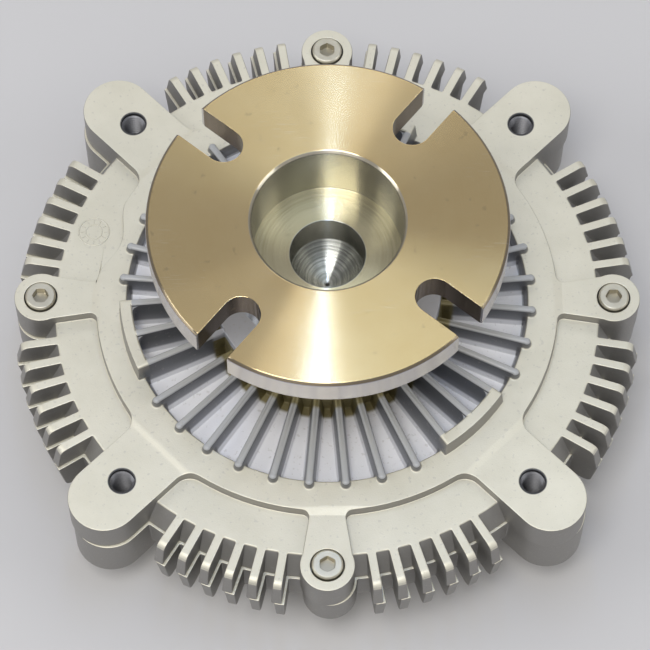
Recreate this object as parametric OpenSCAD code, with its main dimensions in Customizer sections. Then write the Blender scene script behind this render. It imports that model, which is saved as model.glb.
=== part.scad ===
// Viscous fan clutch: a slotted input flange turns in a ball bearing inside a finned two-piece
// aluminium body that carries the fan. A labyrinth rotor, a reservoir with a rotary valve and a
// spiral bimetal coil sit inside and in front.
// Z = 0 is the plane of the fan lug faces, +Z points out of the input flange. Sizes in millimetres.

/* [Input shaft] */
// Diameter of the input flange
flange_d = 97; // [92:0.5:106]
// Thickness of the input flange
flange_t = 9.4; // [7:0.2:12]
// Height of the flange face above the fan lug faces
flange_height = 46; // [44:0.5:56]
// Chamfer on the turned edges of the flange
flange_chamfer = 0.8; // [0.3:0.1:1.5]
// Number of open stud slots
stud_slots = 4; // [3:1:6]
// Width of a stud slot
stud_slot_w = 10.3; // [8.5:0.1:12]
// Diameter of the circle through the inner ends' centres
stud_circle_d = 72; // [68:0.5:78]
// Angle of the first stud slot
stud_clock = 51; // [0:1:89]
// Diameter of the pilot bore in the flange
pilot_d = 40.8; // [34:0.2:44]
// Depth of the pilot bore
pilot_depth = 19.6; // [14:0.2:21]
// Diameter of the drilled relief in the pilot floor
relief_d = 20.6; // [12:0.2:22]
// Depth of the relief's straight wall
relief_depth = 10.6; // [5:0.2:11]
// Depth of the relief's drill point
relief_point = 8.5; // [4:0.1:9]
// Diameter of the cup behind the flange
neck_d = 54; // [52:0.5:58]
// Thickness of the cup's floor
neck_floor_t = 6; // [4:0.5:7]
// Height of the taper from the cup to the stem
neck_taper_h = 7; // [4:0.5:7.5]
// Diameter of the stem above the bearing
stem_d = 32; // [30:0.2:32.2]

/* [Bearing] */
// Bore of the bearing
bearing_bore_d = 25; // [24:0.5:26]
// Outside diameter of the bearing
bearing_od = 52; // [51:0.5:54]
// Width of the bearing
bearing_w = 15; // [14:0.5:16]
// Diameter of a ball
ball_d = 7.94; // [7:0.02:8.2]
// Number of balls
ball_count = 9; // [6:1:10]
// Height of the bearing's rear face above the fan lug faces
bearing_rise = 4; // [2:0.2:5]

/* [Rear housing] */
// Depth of the joint face below the fan lug faces
joint_depth = 11.2; // [10.5:0.1:13]
// Diameter of the rim at the pads
rim_d = 152; // [148:0.5:154]
// Growth of the rim's radius from the pads to the joint
rim_draft = 3.6; // [2.4:0.1:4]
// Outside diameter of the raised ring
ring_d = 129; // [126:0.5:134]
// Diameter of the dish inside the ring
dish_d = 112; // [108:0.5:116]
// Height of the ring above the lug faces
ring_rise = 0.4; // [0.2:0.1:0.8]
// Depth of the recessed pads below the lug faces
pad_depth = 3.2; // [2:0.1:4]
// Depth of the dish floor below the lug faces
dish_depth = 4; // [3:0.1:4.5]
// Thickness of the dish floor
dish_web_t = 4; // [3.5:0.1:4.5]
// Diameter of the bearing hub
hub_d = 63; // [60:0.5:66]
// Number of ribs in the dish
dish_ribs = 36; // [24:1:40]
// Thickness of a dish rib at its top
dish_rib_t = 2; // [1.6:0.1:2.4]
// Height of the dish ribs above the lug faces
dish_rib_rise = 3; // [2:0.1:4]
// Height of the closed blocks at the edge of the dish above the lug faces
block_rise = 6.4; // [5:0.1:7]

/* [Lugs and ears] */
// Diameter of the fan bolt circle
fan_circle_d = 157.5; // [154:0.5:162]
// Tap drill of the fan holes
fan_hole_d = 6.8; // [5:0.1:8]
// Width of a fan lug
lug_w = 20; // [17:0.5:22]
// Radius to the tip of a fan lug
lug_tip_r = 95.2; // [93:0.2:100]
// Thickness of the cover's half of a fan lug
lug_cover_t = 16.3; // [12:0.1:17]
// Diameter of the cover bolt circle
bolt_circle_d = 160; // [157:0.5:164]
// Diameter of an ear round its bolt
ear_d = 14.8; // [13:0.2:16]
// Width of an ear where it leaves the ring
ear_neck_w = 9.4; // [8:0.1:11]
// Thickness of the cover's half of an ear
ear_cover_t = 10.4; // [8:0.1:11]
// Turn of the cover's outline against the housing's
cover_clock = 0.5; // [0:0.1:1]

/* [Cover bolts] */
// Thread diameter of a cover bolt
bolt_d = 5; // [4:0.5:5.5]
// Diameter of a bolt head
bolt_head_d = 8.5; // [8:0.1:9]
// Height of a bolt head
bolt_head_h = 5; // [4:0.1:5.5]
// Height of a bolt head's top above the lug faces
bolt_head_rise = 1; // [0.5:0.1:1.5]
// Width across the flats of the hex socket
bolt_socket_w = 4; // [3:0.1:4.5]
// Length of a bolt's shank
bolt_len = 14; // [12:0.5:15]

/* [Cooling fins] */
// Fins between an ear and a lug
fins_per_bay = 6; // [3:1:6]
// Angle from fin to fin
fin_pitch = 4.5; // [4:0.1:4.6]
// Thickness of a fin at its edge
fin_t = 2.4; // [1.8:0.1:2.8]
// Diameter over the fin tips
fin_tip_d = 176.4; // [172:0.2:177]
// Depth of the cover's fins below the joint
fin_cover_h = 13; // [10:0.1:13.5]
// Number of fins on the front
front_fins = 36; // [24:1:38]
// Height of the front fins over the front wall
front_fin_h = 8.5; // [8.4:0.1:10]

/* [Front cover] */
// Diameter of the working chamber
chamber_d = 120; // [119:0.5:122]
// Diameter of the reservoir
reservoir_d = 106; // [100:0.5:108]
// Depth of the reservoir under the divider plate
reservoir_depth = 5.8; // [5.2:0.1:7]
// Thickness of the front wall
front_wall_t = 3.5; // [3:0.1:4.5]
// Radius of the round shoulder between rim and front
shoulder_r = 10; // [9.5:0.1:11]
// Diameter of the recess round the coil
coil_recess_d = 51; // [50:0.5:54]

/* [Rotor] */
// Running gap round the rotor
rotor_gap = 1; // [0.6:0.1:1.2]
// Thickness of the rotor web
rotor_web_t = 4; // [3:0.1:4.5]
// Number of labyrinth lands on each side
land_count = 4; // [2:1:4]
// Thickness of a land
land_t = 1.8; // [1.2:0.1:2]
// Width across the flats of the shaft's double-D end
shaft_flat_w = 19; // [17:0.2:20]
// Diameter of the shaft's double-D end
shaft_end_d = 22; // [20.5:0.2:23]

/* [Valve and coil] */
// Thickness of the divider plate
divider_t = 1.2; // [0.8:0.1:1.6]
// Radius to the feed port in the divider plate
port_r = 32; // [26:0.5:40]
// Diameter of the feed port
port_d = 6; // [3:0.2:8]
// Angle of the feed port
port_clock = 90; // [0:1:359]
// Diameter of the valve spindle
spindle_d = 8; // [7:0.1:9]
// Thickness of the bimetal strip
coil_t = 1; // [0.6:0.1:1.2]
// Width of the bimetal strip
coil_w = 4.7; // [3:0.1:4.8]
// Spacing of the coil's turns
coil_pitch = 3.2; // [2.4:0.1:3.2]
// Number of turns
coil_turns = 4.25; // [2.25:1:4.25]

/* [Fits] */
// Radial clearance of a seated ring or disc
seat_gap = 0.02; // [0.01:0.01:0.05]
// Radial clearance of a turning pin
running_gap = 0.05; // [0.02:0.01:0.1]
// Clearance of pieces that pass each other
free_gap = 0.3; // [0.3:0.05:0.4]

/* [Hidden] */
$fn = 96;

cast_colour = "#c9c5b8";
chromate_colour = "#c9b27c";
zinc_colour = "#d8d3b4";
steel_colour = "#9a9ca0";
rubber_colour = "#2b2b2d";
bimetal_colour = "#a8895c";

// overlap that lets joined forms share material, and spare height of a cut
bite = 1;
over = 1;
quarter = 90;

// heights, from the flange down to the feet of the front fins
ring_z = ring_rise;
pad_z = -pad_depth;
dish_z = -dish_depth;
joint_z = -joint_depth;
dish_rib_z = dish_rib_rise;
block_z = block_rise;
bearing_top_z = bearing_rise;
bearing_mid_z = bearing_top_z - bearing_w / 2;
bearing_low_z = bearing_top_z - bearing_w;
hub_lip_t = 2.5;
hub_top_z = bearing_top_z + hub_lip_t;
circlip_t = 1.2;
circlip_low_z = bearing_low_z - circlip_t - running_gap;
hub_low_z = circlip_low_z - circlip_t;
chamber_top_z = dish_z - dish_web_t;
rotor_web_z = hub_low_z - rotor_gap;
rotor_low_z = rotor_web_z - rotor_web_t;
ring_groove_low_z = rotor_low_z - circlip_t - running_gap;
shaft_low_z = ring_groove_low_z - circlip_t;
divider_top_z = shaft_low_z - rotor_gap;
ledge_z = divider_top_z - divider_t;
reservoir_z = ledge_z - reservoir_depth;
front_z = reservoir_z - front_wall_t;
foot_z = front_z - front_fin_h;

// input shaft
flange_low_z = flange_height - flange_t;
pilot_z = flange_height - pilot_depth;
relief_z = pilot_z - relief_depth;
neck_low_z = pilot_z - neck_floor_t;
stem_top_z = neck_low_z - neck_taper_h;
neck_fillet = 2.5;
shoulder_chamfer = 0.5;
slot_r = stud_circle_d / 2;

// bearing
pitch_r = (bearing_bore_d + bearing_od) / 4;
race_groove_r = ball_d / 2 + 0.08;
race_land = 0.25;
inner_land_r = pitch_r - race_groove_r * (1 - race_land);
outer_land_r = pitch_r + race_groove_r * (1 - race_land);
seal_t = 1.2;
seal_inset = 0.3;
seal_seat_r = outer_land_r + 0.9;
seal_lip_r = inner_land_r + free_gap + 0.1;
cage_t = 2.7;
cage_h = 2 * race_groove_r + 1.7;
race_chamfer = 0.6;

// housing
rim_r = rim_d / 2;
ring_r = ring_d / 2;
dish_r = dish_d / 2;
dish_draft = 0.7;
hub_r = hub_d / 2;
hub_draft = 0.8;
seat_r = bearing_od / 2 + seat_gap;
hub_lip_r = seat_r - 3.5;
circlip_groove_r = seat_r + 1.3;
chamber_r = chamber_d / 2;
rib_end_r = dish_r + 1;
rib_draft = 1;
rib_round = 0.5;
rib_nub_r = dish_rib_t / 2 + 0.1;
rib_step = 360 / dish_ribs;
block_in_r = dish_r - 1.6;
block_out_r = dish_r + 2.2;
block_draft = 0.6;
pocket_fillet = 1.6;
pocket_lip = 0.12;
pocket_edge = 0.35;
block_count = 3;
block_clock = 75;
block_bay = 360 / block_count;

// lugs, ears and the pads between them
lug_count = 4;
lug_clock = 45;
bay = 360 / lug_count;
lug_c = lug_tip_r - lug_w / 2;
lug_root_r = ring_r - 2.5;
lug_face_r = ring_r - 0.9;
face_ramp = 2.5;
lug_fillet = 5;
lug_cover_z = joint_z - lug_cover_t;
ear_c = bolt_circle_d / 2;
ear_face_r = ring_r - 1.3;
ear_fillet = 2;
ear_slope = atan2((ear_d - ear_neck_w) / 2 - 0.2, ear_c - ring_r);
ear_cover_z = joint_z - ear_cover_t;
fillet_steps = 8;
fillet_bite = 1.5;

// inner edge of the pad that bulges towards the dish
bulge_clock = 163.5;
bulge_half = 12.5;
bulge_depth = 4;
bulge_lead = 0.3;
bulge_steps = 24;

// cover bolts
bolt_r = bolt_d / 2;
bolt_seat_z = bolt_head_rise - bolt_head_h;
bolt_bore_r = bolt_head_d / 2 + 0.35;
bolt_pass_r = bolt_r + 0.25;
bolt_tap_r = bolt_r + running_gap;
bolt_low_z = bolt_seat_z - bolt_len;
bolt_hole_spare = 0.8;
bolt_chamfer = 0.45;
socket_depth = bolt_head_h / 2;

// fins
fin_root = 2;
fin_draft = 0.3;
fin_tip_r = fin_tip_d / 2;
fin_round = 2.6;
fin_round_steps = 6;
fin_cover_z = joint_z - fin_cover_h;
fin_lean = 1.5;
front_fin_t = 2.2;
front_fin_round = 9;

// front cover
cover_rim_r = rim_r + rim_draft + 0.6;
cover_draft = 0.4;
shoulder_z = front_z + 1.5 + shoulder_r;
shoulder_c = cover_rim_r - cover_draft - shoulder_r;
shoulder_steps = 10;
recess_r = coil_recess_d / 2;
recess_wall_t = 2;
recess_wall_h = 3.5;
front_fin_in_r = recess_r + recess_wall_t / 2;
front_fin_out_r = shoulder_c + 1.5;
reservoir_r = reservoir_d / 2;
reservoir_fillet = 2;
joint_seal_r = (chamber_r + rim_r) / 2 - 2;
joint_seal_d = 1.95;
joint_groove_w = 2.6;
joint_groove_h = 2;

// rotor and its labyrinth
rotor_r = chamber_r - 1.5 * rotor_gap;
rotor_hub_r = inner_land_r - 0.3;
shaft_end_r = shaft_end_d / 2;
land_out_r = rotor_r - 0.5;
land_side_gap = 0.8;
land_pitch = 2 * (land_t + land_side_gap);
bleed_hole_d = 5;
bleed_holes = 3;
bleed_r = (rotor_hub_r + land_out_r - land_count * land_pitch) / 2;
retainer_out_r = shaft_end_r + 3;
retainer_in_r = shaft_flat_w / 2 - 0.7;

// divider plate and rivets
divider_r = chamber_r - free_gap;
rivet_count = 4;
rivet_r = 1.5;
rivet_head_r = 2.5;
rivet_head_h = 1;
rivet_len = 4;
rivet_circle_r = (chamber_r + reservoir_r) / 2;
rivet_clock = 45;

// valve
arm_t = 0.8;
arm_w = 9;
arm_crank = 1.1;
arm_top_z = ledge_z - free_gap;
arm_hub_z = arm_top_z - arm_crank;
arm_hub_w = 12;
arm_bend_r = arm_hub_w / 2 + 2;
tenon_r = spindle_d / 2 - 1.4;
tenon_h = arm_t + 0.6;
spindle_r = spindle_d / 2;
spindle_top_z = arm_hub_z - arm_t;
spindle_bore_r = spindle_r + running_gap;
spindle_low_z = foot_z + 1;
boss_r = spindle_r + 5;
boss_top_z = spindle_top_z - free_gap - 0.2;
boss_low_z = front_z - 1.5;
spindle_seal_d = 1.9;
spindle_groove_w = 2.1;
spindle_groove_z = (reservoir_z + front_z) / 2;
spindle_groove_r = spindle_bore_r + spindle_seal_d;
clip_t = 0.8;
clip_groove_r = spindle_r - 0.8;
clip_top_z = boss_low_z - 0.1;
clip_r = spindle_r + 2.6;

// bimetal coil
coil_top_z = spindle_low_z + coil_w;
coil_start_r = spindle_r + 1.6;
coil_end_r = coil_start_r + coil_pitch * coil_turns;
coil_step = 15;
coil_clock = 0;
coil_slot_w = coil_t + 0.2;
anchor_r = 2.2;
anchor_c = recess_r - anchor_r - 0.7;
anchor_clock = coil_clock + 360 * coil_turns;
anchor_boss_r = anchor_r + 1.8;
anchor_boss_z = front_z - 1.5;
anchor_seat_z = front_z + 1.5;
coil_tip_r = anchor_c + anchor_r - 0.4;

function polar(r, a) = [r * cos(a), r * sin(a)];

// points of an arc round centre c, from angle a0 to a1
function arc(c, r, a0, a1, steps) = [for (i = [0:steps]) c + polar(r, a0 + (a1 - a0) * i / steps)];

// inside corner between a circle of radius ring and a straight side at distance side from the
// centre line, leaning out by slope degrees, rounded with radius r
function corner(ring, side, slope, r) =
  let (
    along = [cos(slope), sin(slope)],
    across = [-sin(slope), cos(slope)],
    c = across * (side + r) + along * sqrt(pow(ring + r, 2) - pow(side + r, 2)),
    inner = ring - fillet_bite,
    inset = side - fillet_bite,
    root = across * inset + along * sqrt(pow(inner, 2) - pow(inset, 2)),
    start = 180 + atan2(c[1], c[0])
  )
  concat([root], arc(c, r, start, 270 + slope, fillet_steps));

module both_sides() {
  children();
  mirror([0, 1]) children();
}

module round_pattern(count, start) {
  for (i = [0:count - 1]) {
    rotate([0, 0, start + 360 * i / count]) children();
  }
}

// disc or tube between two heights
module tube(r, inner, low, high) {
  difference() {
    translate([0, 0, low]) cylinder(r = r, h = high - low);
    translate([0, 0, low - over]) cylinder(r = inner, h = high - low + 2 * over);
  }
}

// solid between two heights from a flat outline
module slab(low, high) {
  translate([0, 0, low]) linear_extrude(high - low) children();
}

// bar along +X from r0 to r1 whose sides taper from width w0 at height z0 to w1 at z1
module drafted_bar(r0, r1, w0, w1, z0, z1) {
  translate([r0, 0, 0])
    rotate([90, 0, 90])
      linear_extrude(r1 - r0)
        polygon([[-w0 / 2, z0], [w0 / 2, z0], [w1 / 2, z1], [-w1 / 2, z1]]);
}

// plate across +X cut to a side outline of radius and height
module side_cut(outline, w) {
  translate([0, w / 2, 0]) rotate([90, 0, 0]) linear_extrude(w) polygon(outline);
}

// turned input flange, cup, stem and double-D end
module input_shaft() {
  r_seat = bearing_bore_d / 2 - seat_gap;
  fillet_c = [neck_d / 2 + neck_fillet, flange_low_z - neck_fillet];
  flange_r = flange_d / 2;
  pilot_r = pilot_d / 2;
  section = concat(
    [
      [0, shaft_low_z],
      [shaft_end_r - shoulder_chamfer, shaft_low_z],
      [shaft_end_r, shaft_low_z + shoulder_chamfer],
      [shaft_end_r, bearing_low_z],
      [r_seat, bearing_low_z],
      [r_seat, bearing_top_z],
      [stem_d / 2, bearing_top_z],
      [stem_d / 2, stem_top_z],
      [neck_d / 2, neck_low_z]
    ],
    arc(fillet_c, neck_fillet, 180, quarter, fillet_steps),
    [
      [flange_r - flange_chamfer, flange_low_z],
      [flange_r, flange_low_z + flange_chamfer],
      [flange_r, flange_height - flange_chamfer],
      [flange_r - flange_chamfer, flange_height],
      [pilot_r + flange_chamfer, flange_height],
      [pilot_r, flange_height - flange_chamfer],
      [pilot_r, pilot_z],
      [relief_d / 2, pilot_z],
      [relief_d / 2, relief_z],
      [0, relief_z - relief_point]
    ]
  );
  flat_h = bearing_low_z - shaft_low_z;
  color(chromate_colour)
    difference() {
      rotate_extrude() polygon(section);
      round_pattern(stud_slots, stud_clock) {
        translate([slot_r, 0, flange_low_z - over]) cylinder(d = stud_slot_w, h = flange_t + 2 * over);
        translate([slot_r, -stud_slot_w / 2, flange_low_z - over])
          cube([flange_r, stud_slot_w, flange_t + 2 * over]);
      }
      round_pattern(2, 0)
        translate([shaft_flat_w / 2, -shaft_end_r, shaft_low_z - over])
          cube([shaft_end_r, shaft_end_d, flat_h + over]);
      difference() {
        translate([0, 0, ring_groove_low_z]) cylinder(r = shaft_end_r + over, h = circlip_t + running_gap);
        translate([0, 0, ring_groove_low_z - over])
          cylinder(r = retainer_in_r, h = circlip_t + 2 * over);
      }
    }
}

// flat outline of one fan lug along +X, without its corner fillets
module lug_outline() {
  translate([lug_root_r, -lug_w / 2]) square([lug_c - lug_root_r, lug_w]);
  translate([lug_c, 0]) circle(d = lug_w);
}

// flat outline of one bolt ear along +X, without its corner fillets
module ear_outline() {
  flare = tan(ear_slope);
  root = ear_neck_w / 2 - flare * (ring_r - lug_root_r);
  end = root + flare * (ear_c - lug_root_r);
  polygon([[lug_root_r, -root], [ear_c, -end], [ear_c, end], [lug_root_r, root]]);
  translate([ear_c, 0]) circle(d = ear_d);
}

// corner fillets where lugs and ears leave the raised ring
module lug_corners() {
  both_sides() polygon(corner(ring_r, lug_w / 2, 0, lug_fillet));
}

module ear_corners() {
  side = (ear_neck_w / 2) * cos(ear_slope) - ring_r * sin(ear_slope);
  both_sides() polygon(corner(ring_r, side, ear_slope, ear_fillet));
}

// one cooling fin along +X for the housing
module housing_fin() {
  root_r = rim_r - fin_root;
  round_c = [fin_tip_r - fin_lean - fin_round, pad_z - fin_round];
  outline = concat(
    [[root_r, joint_z - bite], [fin_tip_r, joint_z - bite]],
    arc(round_c, fin_round, 0, quarter, fin_round_steps),
    [[root_r, pad_z]]
  );
  intersection() {
    drafted_bar(root_r - bite, fin_tip_r + bite, fin_t + 2 * fin_draft, fin_t, joint_z - 2 * bite, pad_z + bite);
    side_cut(outline, 3 * fin_t);
  }
}

// one cooling fin along +X for the cover
module cover_fin() {
  root_r = rim_r - 2 * fin_root;
  round_c = [fin_tip_r - fin_lean - fin_round, fin_cover_z + fin_round];
  outline = concat(
    [[root_r, joint_z + bite], [fin_tip_r, joint_z + bite]],
    arc(round_c, fin_round, 0, -quarter, fin_round_steps),
    [[root_r, fin_cover_z]]
  );
  intersection() {
    drafted_bar(
      root_r - bite, fin_tip_r + bite,
      fin_t, fin_t + 2 * fin_draft, fin_cover_z - bite, joint_z + 2 * bite
    );
    side_cut(outline, 3 * fin_t);
  }
}

// fins in every bay between an ear and a lug, on both sides of each ear
module fin_rows() {
  for (b = [0:lug_count - 1], side = [-1, 1], k = [2:fins_per_bay + 1]) {
    rotate([0, 0, b * bay + side * k * fin_pitch]) children();
  }
}

// straight rib along +X with bevelled top edges
module rib_bar(low_z, top_z, end_r) {
  half = dish_rib_t / 2;
  edge_z = top_z - rib_round;
  right = [[half + rib_draft, low_z], [half, edge_z], [half - rib_round, top_z]];
  left = [[rib_round - half, top_z], [-half, edge_z], [-half - rib_draft, low_z]];
  translate([hub_r - bite, 0, 0])
    rotate([90, 0, 90])
      linear_extrude(end_r - hub_r + bite) polygon(concat(right, left));
}

// one dish rib along +X with a round outer end
module dish_rib(low_z) {
  edge_z = dish_rib_z - rib_round;
  rib_bar(low_z, dish_rib_z, rib_end_r);
  translate([rib_end_r, 0, 0])
    rotate_extrude($fn = 32)
      polygon([
        [0, low_z],
        [rib_nub_r + rib_draft, low_z],
        [rib_nub_r, edge_z],
        [rib_nub_r - rib_round, dish_rib_z],
        [0, dish_rib_z]
      ]);
}

// rounded corner of a pocket, between a rib along +X and the band of its block
module pocket_corner(low_z) {
  half = dish_rib_t / 2;
  translate([block_in_r - pocket_fillet, half, low_z])
    linear_extrude(block_z - 2 * rib_round - low_z)
      difference() {
        translate([0, -half / 2]) square([pocket_fillet + half / 2, pocket_fillet + half / 2]);
        translate([0, pocket_fillet]) circle(pocket_fillet - pocket_lip);
      }
}

// closed block round +X: three tall ribs joined by a band at the edge of the dish
module dish_block(low_z) {
  intersection() {
    union() {
      for (side = [-1:1]) {
        rotate([0, 0, side * rib_step]) rib_bar(low_z, block_z, block_out_r + bite);
      }
      rotate([0, 0, -rib_step])
        rotate_extrude(angle = 2 * rib_step)
          polygon([
            [block_in_r, low_z],
            [block_out_r + bite, low_z],
            [block_out_r + bite, block_z],
            [block_in_r + pocket_edge, block_z],
            [block_in_r, block_z - pocket_edge]
          ]);
      for (side = [-1:0]) {
        rotate([0, 0, side * rib_step]) pocket_corner(low_z);
        rotate([0, 0, -side * rib_step]) mirror([0, 1, 0]) pocket_corner(low_z);
      }
    }
    rotate_extrude()
      polygon([
        [0, low_z - bite],
        [block_out_r, low_z - bite],
        [block_out_r - block_draft, block_z + over],
        [0, block_z + over]
      ]);
  }
}

// turn from a rib to the middle of the nearest block
function block_off(turn) =
  let (past = ((turn - block_clock) % block_bay + block_bay) % block_bay) min(past, block_bay - past);

// ribs and closed blocks in the dish
module dish_ribwork() {
  low_z = dish_z - bite / 2;
  for (i = [0:dish_ribs - 1]) {
    turn = (i + 0.5) * rib_step;
    if (block_off(turn) > 1.5 * rib_step) rotate([0, 0, turn]) dish_rib(low_z);
  }
  round_pattern(block_count, block_clock) dish_block(low_z);
}

// labyrinth lands as steps along a section, from base height to tip height
function land_steps(first_r, base_z, tip_z) = [
  for (i = [0:land_count - 1], p = [[0, base_z], [0, tip_z], [land_t, tip_z], [land_t, base_z]])
    [first_r + i * land_pitch + p[0], p[1]]
];

rotor_land_r = land_out_r - (land_count - 1) * land_pitch - land_t;
housing_land_r = rotor_land_r - land_pitch / 2;

housing_section = concat(
  [
    [chamber_r, joint_z - bite],
    [rim_r + rim_draft * (joint_depth - pad_depth + bite) / (joint_depth - pad_depth), joint_z - bite],
    [rim_r, pad_z],
    [ring_r, pad_z],
    [ring_r, ring_z],
    [dish_r, ring_z],
    [dish_r - dish_draft, dish_z],
    [hub_r + hub_draft, dish_z],
    [hub_r, hub_top_z],
    [hub_lip_r, hub_top_z],
    [hub_lip_r, bearing_top_z],
    [seat_r, bearing_top_z],
    [seat_r, bearing_low_z],
    [circlip_groove_r, bearing_low_z],
    [circlip_groove_r, circlip_low_z],
    [seat_r, circlip_low_z],
    [seat_r, hub_low_z],
    [hub_r, hub_low_z],
    [hub_r, chamber_top_z]
  ],
  land_steps(housing_land_r, chamber_top_z, rotor_web_z + rotor_gap),
  [[chamber_r, chamber_top_z]]
);

// bulging inner edge of one pad, as a smooth wave over an arc of the ring
module pad_bulge() {
  wave = [
    for (i = [0:bulge_steps])
      let (u = 2 * i / bulge_steps - 1, dip = (1 + cos(180 * u)) / 2)
        polar(ring_r + bulge_lead - (bulge_depth + bulge_lead) * dip, bulge_clock + bulge_half * u)
  ];
  back = arc([0, 0], ring_r + bulge_lead, bulge_clock + bulge_half, bulge_clock - bulge_half, fillet_steps);
  inner = [for (i = [1:bulge_steps - 1]) wave[i]];
  polygon(concat(inner, back));
}

// cut that lets the ring's top run down to the lug faces round a radius
module face_cut(start_r, w) {
  side_cut([
    [start_r - face_ramp, 2 * ring_z],
    [start_r + face_ramp, 0],
    [lug_tip_r + over, 0],
    [lug_tip_r + over, 2 * ring_z + over],
    [start_r - face_ramp, 2 * ring_z + over]
  ], w);
}

// rear half of the body, with the fan lugs and the bearing hub
module rear_housing() {
  color(cast_colour)
    difference() {
      union() {
        rotate_extrude() polygon(housing_section);
        round_pattern(lug_count, lug_clock) {
          slab(joint_z - bite, ring_z) lug_outline();
          slab(pad_z - bite, ring_z) lug_corners();
        }
        round_pattern(lug_count, 0) {
          slab(joint_z - bite, ring_z) ear_outline();
          slab(pad_z - bite, ring_z) ear_corners();
        }
        fin_rows() housing_fin();
        dish_ribwork();
      }
      tube(lug_tip_r + over, chamber_r - over, joint_z - 3 * bite, joint_z);
      slab(pad_z, ring_z + over) pad_bulge();
      round_pattern(lug_count, lug_clock) {
        face_cut(lug_face_r, 2 * lug_w);
        translate([fan_circle_d / 2, 0, joint_z - over]) cylinder(d = fan_hole_d, h = joint_depth + 2 * over);
      }
      round_pattern(lug_count, 0) {
        face_cut(ear_face_r, 2 * ear_d);
        translate([ear_c, 0, joint_z - over]) cylinder(r = bolt_pass_r, h = joint_depth + 2 * over);
        translate([ear_c, 0, bolt_seat_z]) cylinder(r = bolt_bore_r, h = bolt_head_h + over);
      }
    }
}

cover_section = concat(
  [
    [chamber_r, joint_z + bite],
    [cover_rim_r + cover_draft * bite / (joint_z - shoulder_z), joint_z + bite]
  ],
  arc([shoulder_c, shoulder_z], shoulder_r, 0, -quarter, shoulder_steps),
  [
    [recess_r + recess_wall_t, front_z],
    [recess_r + recess_wall_t, front_z - recess_wall_h],
    [recess_r, front_z - recess_wall_h],
    [recess_r, front_z],
    [boss_r, front_z],
    [boss_r, boss_low_z],
    [spindle_bore_r, boss_low_z],
    [spindle_bore_r, spindle_groove_z - spindle_groove_w / 2],
    [spindle_groove_r, spindle_groove_z - spindle_groove_w / 2],
    [spindle_groove_r, spindle_groove_z + spindle_groove_w / 2],
    [spindle_bore_r, spindle_groove_z + spindle_groove_w / 2],
    [spindle_bore_r, boss_top_z],
    [boss_r, boss_top_z],
    [boss_r, reservoir_z],
    [reservoir_r - reservoir_fillet, reservoir_z],
    [reservoir_r, reservoir_z + reservoir_fillet],
    [reservoir_r, ledge_z],
    [chamber_r, ledge_z]
  ]
);

// one radial fin along +X on the front wall
module front_fin() {
  root_z = front_z + 2.1;
  round_c = [front_fin_out_r - front_fin_round, foot_z + front_fin_round];
  outline = concat(
    [[front_fin_in_r, root_z], [front_fin_in_r, foot_z]],
    arc(round_c, front_fin_round, -quarter, 0, fin_round_steps),
    [[front_fin_out_r, root_z]]
  );
  intersection() {
    drafted_bar(
      front_fin_in_r - bite, front_fin_out_r + bite,
      front_fin_t, front_fin_t + 2 * fin_draft, foot_z, root_z
    );
    side_cut(outline, 3 * front_fin_t);
  }
}

// front half of the body, with the reservoir and the coil recess
module front_cover() {
  color(cast_colour)
    difference() {
      union() {
        rotate_extrude() polygon(cover_section);
        rotate([0, 0, cover_clock]) {
          round_pattern(lug_count, lug_clock) slab(lug_cover_z, joint_z + bite) lug_outline();
          round_pattern(lug_count, 0) slab(ear_cover_z, joint_z + bite) ear_outline();
          fin_rows() cover_fin();
        }
        round_pattern(front_fins, 0) front_fin();
        rotate([0, 0, anchor_clock])
          translate([anchor_c, 0, anchor_boss_z])
            cylinder(r = anchor_boss_r, h = front_z - anchor_boss_z + bite);
      }
      translate([0, 0, joint_z]) cylinder(r = lug_tip_r + over, h = 3 * bite);
      rotate_extrude()
        translate([joint_seal_r - joint_groove_w / 2, joint_z - joint_groove_h])
          square([joint_groove_w, joint_groove_h + over]);
      round_pattern(lug_count, lug_clock)
        translate([fan_circle_d / 2, 0, lug_cover_z - over])
          cylinder(d = fan_hole_d, h = lug_cover_t + 2 * over);
      round_pattern(lug_count, 0)
        translate([ear_c, 0, bolt_low_z - bolt_hole_spare])
          cylinder(r = bolt_tap_r, h = joint_z - bolt_low_z + bolt_hole_spare + over);
      round_pattern(rivet_count, rivet_clock)
        translate([rivet_circle_r, 0, ledge_z - rivet_len - running_gap])
          cylinder(r = rivet_r + seat_gap, h = rivet_len + running_gap + over, $fn = 32);
      rotate([0, 0, anchor_clock])
        translate([anchor_c, 0, anchor_boss_z - over])
          cylinder(r = anchor_r + seat_gap, h = anchor_seat_z - anchor_boss_z + over, $fn = 48);
    }
}

// socket cap screws through the ears
module cover_bolts() {
  head_r = bolt_head_d / 2;
  section = [
    [0, bolt_low_z],
    [bolt_r - bolt_chamfer, bolt_low_z],
    [bolt_r, bolt_low_z + bolt_chamfer],
    [bolt_r, bolt_seat_z],
    [head_r, bolt_seat_z],
    [head_r, bolt_head_rise - bolt_chamfer],
    [head_r - bolt_chamfer, bolt_head_rise],
    [0, bolt_head_rise]
  ];
  color(zinc_colour)
    round_pattern(lug_count, 0)
      translate([ear_c, 0, 0])
        difference() {
          rotate_extrude($fn = 48) polygon(section);
          translate([0, 0, bolt_head_rise - socket_depth])
            cylinder(d = bolt_socket_w / cos(30), h = socket_depth + over, $fn = 6);
        }
}

// O-ring in the joint between the halves
module cover_seal() {
  color(rubber_colour)
    translate([0, 0, joint_z - joint_groove_h / 2])
      rotate_extrude() translate([joint_seal_r, 0]) circle(d = joint_seal_d, $fn = 32);
}

// groove that the balls run in, cut from a race's section
module race_groove() {
  translate([pitch_r, bearing_mid_z]) circle(r = race_groove_r, $fn = 64);
}

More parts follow.
